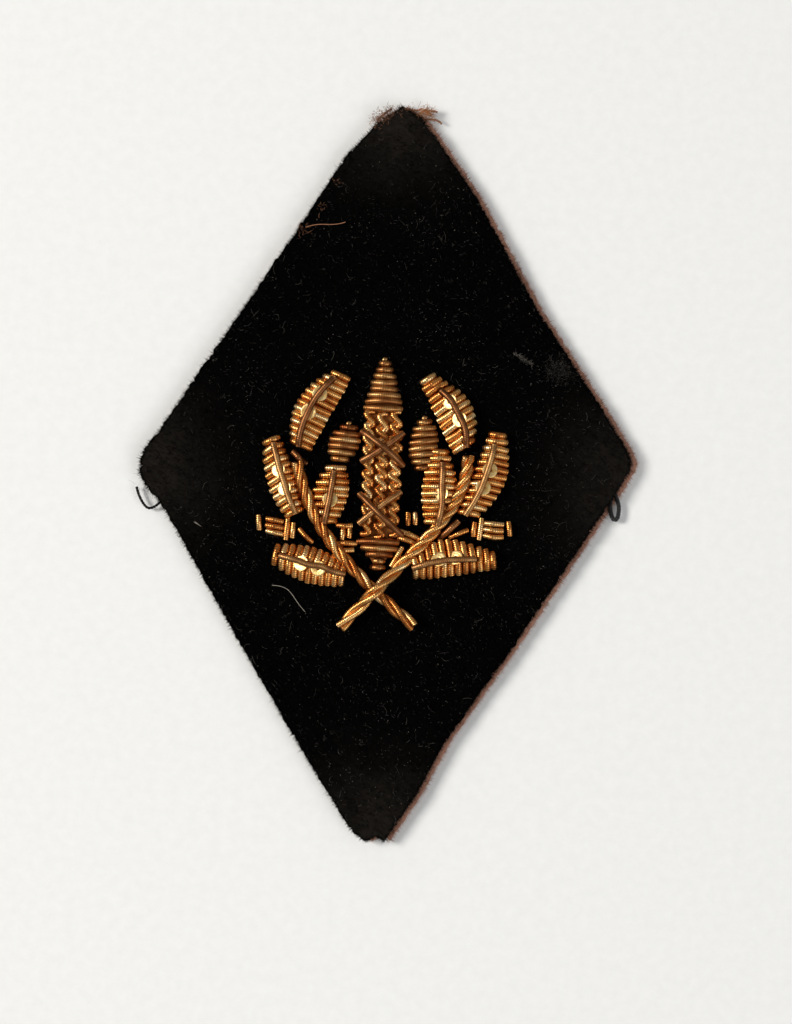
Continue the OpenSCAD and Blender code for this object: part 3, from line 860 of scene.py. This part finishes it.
def velvet_change(points):
    """Sinks the face by what the pile stands up from it, and makes the nap a little uneven."""
    top = points[:, 2] > HIGH.z - 0.25 * MM
    tufts = waves(points, 0.8 * MM, 5) * 0.05 * MM + waves(points, 5 * MM, 6) * 0.03 * MM
    points[:, 2] += np.where(top, -PILE_SINK + tufts, 0)
    points[:, 2] = np.maximum(points[:, 2], LOW.z)
    ragged = waves(points, 1.1 * MM, 7) * 0.13 * MM + waves(points, 3.2 * MM, 9) * 0.07 * MM
    near = np.exp(-(edge_distance(points[:, :2], outline_of("velvet_ground")) / (0.5 * MM)) ** 2)
    outward = points[:, :2] / np.maximum(np.linalg.norm(points[:, :2], axis=1, keepdims=True), MM)
    points[:, :2] += outward * ((ragged - 0.08 * MM) * near)[:, None]
    return points


backing = cloth_sheet("backing_cloth", "backing_felt_sheet", 0.25 * MM, FELT,
                      backing_change)
interlining = cloth_sheet("interlining", "interlining_sheet", 0.22 * MM, LINEN,
                          interlining_change)
velvet = cloth_sheet("velvet_ground", "velvet_sheet", 0.22 * MM, VELVET,
                     velvet_change)


def mark_wear(piece):
    """Marks the ground of the velvet as worn where its pile is."""
    points = points_of(piece.data)
    marks = np.full((len(points), 4), 0.5, np.float32)
    marks[:, 0] = wear(points)
    piece.data.attributes["marks"].data.foreach_set("color", marks.reshape(-1))


mark_wear(velvet)


def soft_padding(node):
    """Felt padding with its steps worn into one crown, spread a little by the purl that is pulled over it."""
    piece = remeshed(node, node.replace("padding", "felt_pad"), 0.11 * MM, 8)
    spread = 1.2 if "leaf" in node else 1.1

    def change(points):
        middle = points.mean(axis=0) * [1, 1, 0]
        points = middle + (points - middle) * [spread, spread, 1]
        points[:, 2] += waves(points, 0.5 * MM, 8) * 0.012 * MM
        return points

    moved(piece, change)
    placed(piece, PADDING, (node,))


for node in ending("_padding"):
    soft_padding(node)


def three_round(side, other, start):
    """Three unit vectors evenly spaced round an axis, from two that are square to it."""
    angles = start + 2 * np.pi * np.arange(3) / 3
    return [math.cos(angle) * side + math.sin(angle) * other for angle in angles]


def blades(shape, roots, tips, width, tones, worn=0.0):
    """Adds thin closed spikes from roots to tips, three-sided."""
    count = len(roots)
    along = unit(tips - roots)
    side = unit(np.cross(along, rng.normal(size=(count, 3))))
    other = np.cross(along, side)
    corners = [roots + width[:, None] * out for out in three_round(side, other, 0)]
    points = np.stack([*corners, tips], axis=1)
    base = np.arange(count)[:, None, None] * 4
    tris = base + np.array([[0, 2, 1], [0, 1, 3], [1, 2, 3], [2, 0, 3]])
    worn = np.broadcast_to(worn, count)
    marks = np.stack([np.repeat(worn, 4), np.repeat(tones, 4), np.tile([0, 0, 0, 1.0], count)], axis=1)
    shape.add(points.reshape(-1, 3), marks, tris=tris.reshape(-1, 3))


def pile(outline, name):
    """Short dense pile over the velvet, which leans towards the bottom right."""
    spots = rng.uniform((LOW.x, LOW.y), (HIGH.x, HIGH.y), (int(PILE_COUNT * 1.9), 2))
    spots = spots[inside(spots, outline)][:PILE_COUNT]
    count = len(spots)
    base = HIGH.z - PILE_SINK - 0.08 * MM
    roots = np.column_stack([spots, np.full(count, base)])
    clump = waves(roots, 0.9 * MM, 11)
    lean = np.column_stack([waves(roots, 1.7 * MM, 12), waves(roots, 1.5 * MM, 13)])
    lean = (PILE_LEAN + 0.22 * lean) * MM + rng.normal(0, 0.1 * MM, (count, 2))
    height = PILE_HEIGHT * (1 + 0.1 * clump + rng.normal(0, 0.08, count))
    tips = roots + np.column_stack([lean, height])
    width = rng.uniform(0.05, 0.085, count) * MM
    shape = Shape()
    blades(shape, roots, tips, width, rng.random(count), wear(roots))
    return shape.make(name, VELVET, smooth_faces=False)


def along_outline(outline, count):
    """Random places on the outline, with the outward direction at each."""
    after = np.roll(outline, -1, axis=0)
    length = np.linalg.norm(after - outline, axis=1)
    pick = rng.choice(len(outline), count, p=length / length.sum())
    share = rng.random((count, 1))
    spot = outline[pick] * (1 - share) + after[pick] * share
    way = (after - outline)[pick] / length[pick][:, None]
    outward = np.column_stack([way[:, 1], -way[:, 0]])
    return spot, outward


def edge_fuzz(outline, name, z_low, z_high, reach, material, width):
    """Fibres that stand out of a cut edge."""
    count = EDGE_FUZZ
    spot, outward = along_outline(outline, count)
    z = rng.uniform(z_low, z_high, count)
    roots = np.column_stack([spot - outward * 0.25 * MM, z])
    length = reach * rng.gamma(4, 0.2, count)
    drift = rng.normal(0, 0.35, (count, 2)) * reach
    tips = np.column_stack([spot + outward * length[:, None] + drift, z + rng.normal(0, 0.25, count) * reach])
    tips[:, 2] = np.clip(tips[:, 2], 0.02 * MM, None)
    shape = Shape()
    blades(shape, roots, tips, rng.uniform(0.6, 1.2, count) * width, rng.random(count))
    return shape.make(name, material, smooth_faces=False)


velvet_outline = outline_of("velvet_ground")
backing_outline = outline_of("backing_cloth")
backing_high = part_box("backing_cloth")[1]
pile(velvet_outline, "velvet_pile")
edge_fuzz(velvet_outline, "velvet_edge_pile", LOW.z + 0.15 * MM, HIGH.z - 0.25 * MM,
          0.3 * MM, VELVET, 0.05 * MM)
edge_fuzz(backing_outline, "backing_edge_fuzz", 0.06 * MM, backing_high.z - 0.05 * MM,
          0.34 * MM, FUZZ, 0.03 * MM)


def fibres(shape, starts, heading, length, radius, curl, tones, rise):
    """Adds fine three-sided fibres that lie from starts along a heading and curl as they go."""
    count = len(starts)
    turn = heading[:, None] + curl[:, None] * np.linspace(0, 1, FIBRE_STEPS)[None, :]
    step = (length / FIBRE_STEPS)[:, None]
    x = np.cumsum(np.cos(turn) * step, axis=1)
    y = np.cumsum(np.sin(turn) * step, axis=1)
    lift = np.sin(np.linspace(0, np.pi, FIBRE_STEPS))[None, :] * np.broadcast_to(rise, count)[:, None]
    path = starts[:, None, :] + np.stack([x, y, lift], axis=-1)
    side = np.stack([-np.sin(turn), np.cos(turn), np.zeros_like(turn)], axis=-1)
    taper = np.full(FIBRE_STEPS, 1.0)
    taper[[0, -1]] = 0.35
    width = (radius[:, None] * taper)[:, :, None]
    rings = [path + width * out for out in three_round(side, np.array([0, 0, 1.0]), np.pi / 2)]
    points = np.stack(rings, axis=2).reshape(-1, 3)
    base = (np.arange(count) * FIBRE_STEPS * 3)[:, None, None]
    row = (np.arange(FIBRE_STEPS - 1) * 3)[None, :, None]
    sides = [base + row + np.array(face) for face in ((0, 1, 4, 3), (1, 2, 5, 4), (2, 0, 3, 5))]
    quads = np.concatenate(sides, axis=1).reshape(-1, 4)
    last = (FIBRE_STEPS - 1) * 3
    caps = (base + np.array([[0, 2, 1], [last, last + 1, last + 2]])).reshape(-1, 3)
    tone = np.repeat(tones, FIBRE_STEPS * 3)
    marks = np.stack([np.zeros_like(tone), tone, np.full_like(tone, 0.5)], axis=1)
    shape.add(points, marks, quads, caps)


def strew(shape, starts, headings, lengths, radii, curl, tones=(0, 1), rise=0.1):
    """Adds a fibre at each start, its length, radius, curl and tone drawn from the ranges, in mm."""
    count = len(starts)
    length = rng.uniform(*lengths, count) * MM
    radius = rng.uniform(*radii, count) * MM
    curls = rng.normal(0, curl, count)
    fibres(shape, starts, headings, length, radius, curls, rng.uniform(*tones, count), rise * MM)


def at_height(spots, z):
    return np.column_stack([spots, np.broadcast_to(z, len(spots))])


def any_way(count):
    """Random headings all round."""
    return rng.uniform(0, 6.3, count)


def add_lint():
    """Specks and dim curls of lint in drifts on the pile, a dusty patch and a pale streak on the right."""
    spots = rng.uniform((LOW.x, LOW.y), (HIGH.x, HIGH.y), (LINT_COUNT * 5, 2)) * 0.95
    spots = spots[inside(spots, velvet_outline)]
    flat = at_height(spots, 0)
    crowded = waves(flat, 14 * MM, 14) + 0.6 * waves(flat, 4 * MM, 15)
    spots = spots[rng.normal(0, 0.5, len(spots)) < crowded + 0.1][:LINT_COUNT]
    count = len(spots)
    curls = rng.random(count) < 0.45
    length = np.where(curls, rng.uniform(0.6, 1.8, count), rng.uniform(0.08, 0.28, count)) * MM
    radius = np.where(curls, rng.uniform(0.007, 0.013, count), rng.uniform(0.015, 0.035, count)) * MM
    tones = np.where(curls, rng.uniform(0.15, 0.7, count), rng.uniform(0.4, 1.0, count))
    shape = Shape()
    starts = at_height(spots, HIGH.z + 0.02 * MM)
    fibres(shape, starts, any_way(count), length, radius, rng.normal(0, 2.2, count), tones, 0.05 * MM)
    patch = np.array([0.69 * HIGH.x, 0.3 * HIGH.y]) + rng.normal(0, 1, (DUST_COUNT, 2)) * [1.0 * MM, 0.9 * MM]
    patch = patch[inside(patch, velvet_outline * 0.985)]
    strew(shape, at_height(patch, HIGH.z - 0.05 * MM), any_way(len(patch)), (0.2, 0.6), (0.007, 0.013), 2.5,
          (0.12, 0.5), 0.03)
    share = rng.random(STREAK_COUNT)
    start = np.array([0.5 * HIGH.x, 0.342 * HIGH.y])
    spots = start + share[:, None] * [2.5 * MM, -1.5 * MM] + rng.normal(0, 0.08 * MM, (STREAK_COUNT, 2))
    strew(shape, at_height(spots, HIGH.z), rng.normal(-0.5, 0.7, STREAK_COUNT), (0.2, 0.7), (0.009, 0.016),
          1.5, (0.3, 0.8), 0.03)
    shape.make("lint_on_pile", LINT)


def add_strays():
    """Fine grey fibres between the left corner and its thread, and a short pale one on the pile."""
    shape = Shape()
    spots = [LOW.x + 1.5 * MM, -3.4 * MM] + rng.normal(0, 1, (STRAY_COUNT, 2)) * [0.9 * MM, 0.8 * MM]
    starts = at_height(spots, rng.uniform(0.1, 1.3, STRAY_COUNT) * MM)
    fibres(shape, starts, rng.normal(1.2, 1.2, STRAY_COUNT), rng.uniform(0.8, 2.0, STRAY_COUNT) * MM,
           np.full(STRAY_COUNT, 0.01 * MM), rng.normal(0, 1.4, STRAY_COUNT),
           rng.uniform(0.1, 0.7, STRAY_COUNT), 0.08 * MM)
    shape.make("left_corner_lint", LINT)
    pale = Shape()
    starts = np.array([[0.772 * LOW.x, 0.145 * LOW.y, HIGH.z + 0.03 * MM]] * 3)
    starts = starts + rng.normal(0, 0.05 * MM, (3, 3)) * [1, 1, 0]
    fibres(pale, starts, np.array([-0.75, -0.95, -0.7]), np.array([1.2, 0.8, 0.9]) * MM,
           np.full(3, 0.025 * MM), np.array([0.3, 0.7, 0.2]), np.array([0.7, 0.9, 0.8]), 0.05 * MM)
    pale.make("pale_lint", HAIR)


def fine_thread(shape, path, radius, tone, groove):
    add_tube(shape, path, radius, tone, 0.3 * MM, groove, 6, 0.3)


def add_hair():
    """One pale hair that lies in an arc below the lower left leaf."""
    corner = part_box("lower_left_leaf_purls")[0]
    steps = np.array([(0.2, -0.1), (1.3, -0.15), (2.3, -0.55), (3.0, -1.4), (3.7, -2.4), (4.6, -3.4)]) * MM
    path = at_height(steps + [corner.x, corner.y], HIGH.z + 0.06 * MM)
    shape = Shape()
    fine_thread(shape, smooth(spaced(path, 0.2 * MM), 6), 0.03 * MM, 0.5, 0.002 * MM)
    shape.make("pale_hair", HAIR)


# Tufts of the backing: place as a share of the velvet's half width and half height, fibres, spread in mm
TUFTS = (
    (-0.082, 0.957, 170, 0.5), (-0.055, 0.97, 190, 0.5), (-0.03, 0.981, 150, 0.4), (0.03, 0.985, 90, 0.5),
    (-0.37, 0.655, 150, 0.4), (-0.3, 0.718, 60, 0.3), (-0.235, 0.79, 60, 0.3),
)


def add_tufts():
    """Fibres of the backing that have worked out at the top point and at the upper left edge."""
    shape = Shape()
    for across, up, count, wide in TUFTS:
        middle = np.array([across * HIGH.x, up * HIGH.y])
        spots = middle + rng.normal(0, wide * MM, (count, 2))
        starts = at_height(spots, rng.uniform(backing_high.z, HIGH.z + 0.05 * MM, count))
        strew(shape, starts, any_way(count), (0.25, 0.9), (0.012, 0.024), 3)
    share = np.linspace(0, 1, 30)
    start = np.array([-0.36 * HIGH.x, 0.66 * HIGH.y])
    strand = start + share[:, None] * [5.2 * MM, 0.9 * MM]
    strand[:, 1] += 0.15 * MM * np.sin(6 * share)
    fine_thread(shape, at_height(strand, HIGH.z + 0.08 * MM), 0.047 * MM, 0.8, 0.01 * MM)
    shape.make("backing_tufts", BROWN_YARN)


def add_point_tuft():
    """The orange-brown tuft that stands out to the right of the top point."""
    count = 150
    shape = Shape()
    middle = np.array([0.1 * HIGH.x, 0.984 * HIGH.y])
    spots = middle + rng.normal(0, 1, (count, 2)) * [0.45 * MM, 0.3 * MM]
    starts = at_height(spots, rng.uniform(backing_high.z, HIGH.z - 0.3 * MM, count))
    strew(shape, starts, rng.normal(0.05, 0.4, count), (0.5, 1.7), (0.012, 0.028), 0.9)
    shape.make("point_tuft", TUFT)


add_lint()
add_strays()
add_hair()
add_tufts()
add_point_tuft()


# ---- loose threads

PLIES = 2
TURNS_PER_MM = 1.4


def yarn(shape, path, radius):
    """Plies of a thread twisted round the path."""
    path = spaced(path, 0.08 * MM)
    up, side, _ = frames(path)
    way = way_along(path)
    tone = rng.random()
    for ply in range(PLIES):
        angle = way / MM * TURNS_PER_MM * 2 * np.pi + 2 * np.pi * ply / PLIES
        centre = path + radius * 0.5 * (np.cos(angle)[:, None] * side + np.sin(angle)[:, None] * up)
        add_tube(shape, centre, radius * 0.56, tone, 0.25 * MM, 0.01 * MM, 7, 0.3)


def threads(node, name, material, wander):
    """Rebuilds a node's loose threads with plies and a little wander."""
    shape = Shape()
    for _, ends in tubes(node)[1]:
        path = arc(ends)
        path = path + np.stack([waves(path, 2 * MM, 31 + k) for k in range(3)], axis=1) * wander * [1, 1, 0.4]
        yarn(shape, path, ends[0][2])
    return shape.make(name, material, (node,))


def towards(path, place):
    """The path, turned round if need be, so that its end is nearer to the place than its start."""
    start, end = np.linalg.norm(path[[0, -1]] - place, axis=1)
    return path[::-1] if start < end else path


def hooked_thread(node, name):
    """Joins a node's lengths end to end into one thread that bends smoothly."""
    paths = [arc(ends) for _, ends in tubes(node)[1]]
    first, second = sorted(paths, key=lambda path: -path[:, 0].mean())
    first = towards(first, second.mean(axis=0))
    second = towards(second, first[-1])[::-1]
    shape = Shape()
    yarn(shape, smooth(spaced(np.concatenate([first, second]), 0.1 * MM), 40), 0.19 * MM)
    return shape.make(name, BLACK_YARN, (node,))


def loop_thread(node, name):
    """Rebuilds the pulled loop, narrower at its top, with both ends led up under the pile."""
    points, _ = triangles_of(node)
    centre = (points.max(axis=0) + points.min(axis=0)) / 2
    thick = np.ptp(points[:, 2]) / 2
    long = np.linalg.svd(points[:, :2] - centre[:2], full_matrices=False)[2][0]
    long = np.append(long * np.sign(long[1]), 0)
    wide = np.array([long[1], -long[0], 0])
    half_long = np.abs((points - centre) @ long).max() - thick
    half_wide = np.abs((points - centre) @ wide).max() - thick
    turn = np.linspace(0.58 * np.pi, 2.42 * np.pi, 40)
    across = half_wide * np.cos(turn) * (1 - 0.4 * np.maximum(np.sin(turn), 0))
    ring = centre + across[:, None] * wide + (half_long * np.sin(turn))[:, None] * long
    lead = 0.7 * MM * long + [0, 0, 0.35 * MM]
    path = np.concatenate([[ring[0] + lead], ring, [ring[-1] + lead]])
    shape = Shape()
    yarn(shape, smooth(spaced(path, 0.1 * MM), 6), 0.3 * MM)
    return shape.make(name, GLOSSY_YARN, (node,))


threads("top_fray", "top_frayed_yarns", BROWN_YARN, 0.12 * MM)
hooked_thread("left_corner_thread", "left_corner_yarn")
loop_thread("right_corner_loop", "right_corner_yarn_loop")
threads("sewing_thread", "back_stitches", COTTON, 0.01 * MM)


# ---- stage, light and finish

FLOOR_HALF = 4.0
FLOOR_GAP = 0.02 * MM
KEY_PLACE = (-1.02, 0.2, 0.95)
KEY_SIZE = 0.42
KEY_POWER = 16.0
FILL_PLACE = (0.7, -0.5, 0.9)
FILL_SIZE = 0.8
FILL_POWER = 4.4
SKY_STRENGTH = 0.3


def add_floor():
    """A wide sheet of paper, a hair's breadth below the badge so that the two faces don't coincide."""
    mesh = bpy.data.meshes.new("floor")
    signs = ((-1, -1), (1, -1), (1, 1), (-1, 1))
    mesh.from_pydata([(x * FLOOR_HALF, y * FLOOR_HALF, 0) for x, y in signs], [], [(0, 1, 2, 3)])
    floor = bpy.data.objects.new("floor", mesh)
    floor.location.z = -FLOOR_GAP
    bpy.context.scene.collection.objects.link(floor)
    floor.data.materials.append(PAPER)


def add_lamp(name, location, size, power, colour):
    """A square lamp that faces the badge."""
    data = bpy.data.lights.new(name, "AREA")
    data.shape = "SQUARE"
    data.size = size
    data.energy = power
    data.color = colour
    lamp = bpy.data.objects.new(name, data)
    lamp.location = location
    direction = -lamp.location.normalized()
    lamp.rotation_euler = direction.to_track_quat("-Z", "Y").to_euler()
    bpy.context.scene.collection.objects.link(lamp)


def add_sky():
    """Even white light from all round."""
    world = bpy.data.worlds.new("studio")
    bpy.context.scene.world = world
    world.use_nodes = True
    dress(world.node_tree, world.node_tree.nodes["Background"], Color=(1, 1, 1), Strength=SKY_STRENGTH)


add_floor()
add_lamp("key", KEY_PLACE, KEY_SIZE, KEY_POWER, (1.0, 0.975, 0.94))
add_lamp("fill", FILL_PLACE, FILL_SIZE, FILL_POWER, (0.94, 0.97, 1.0))
add_sky()
bpy.context.scene.view_settings.view_transform = "Standard"
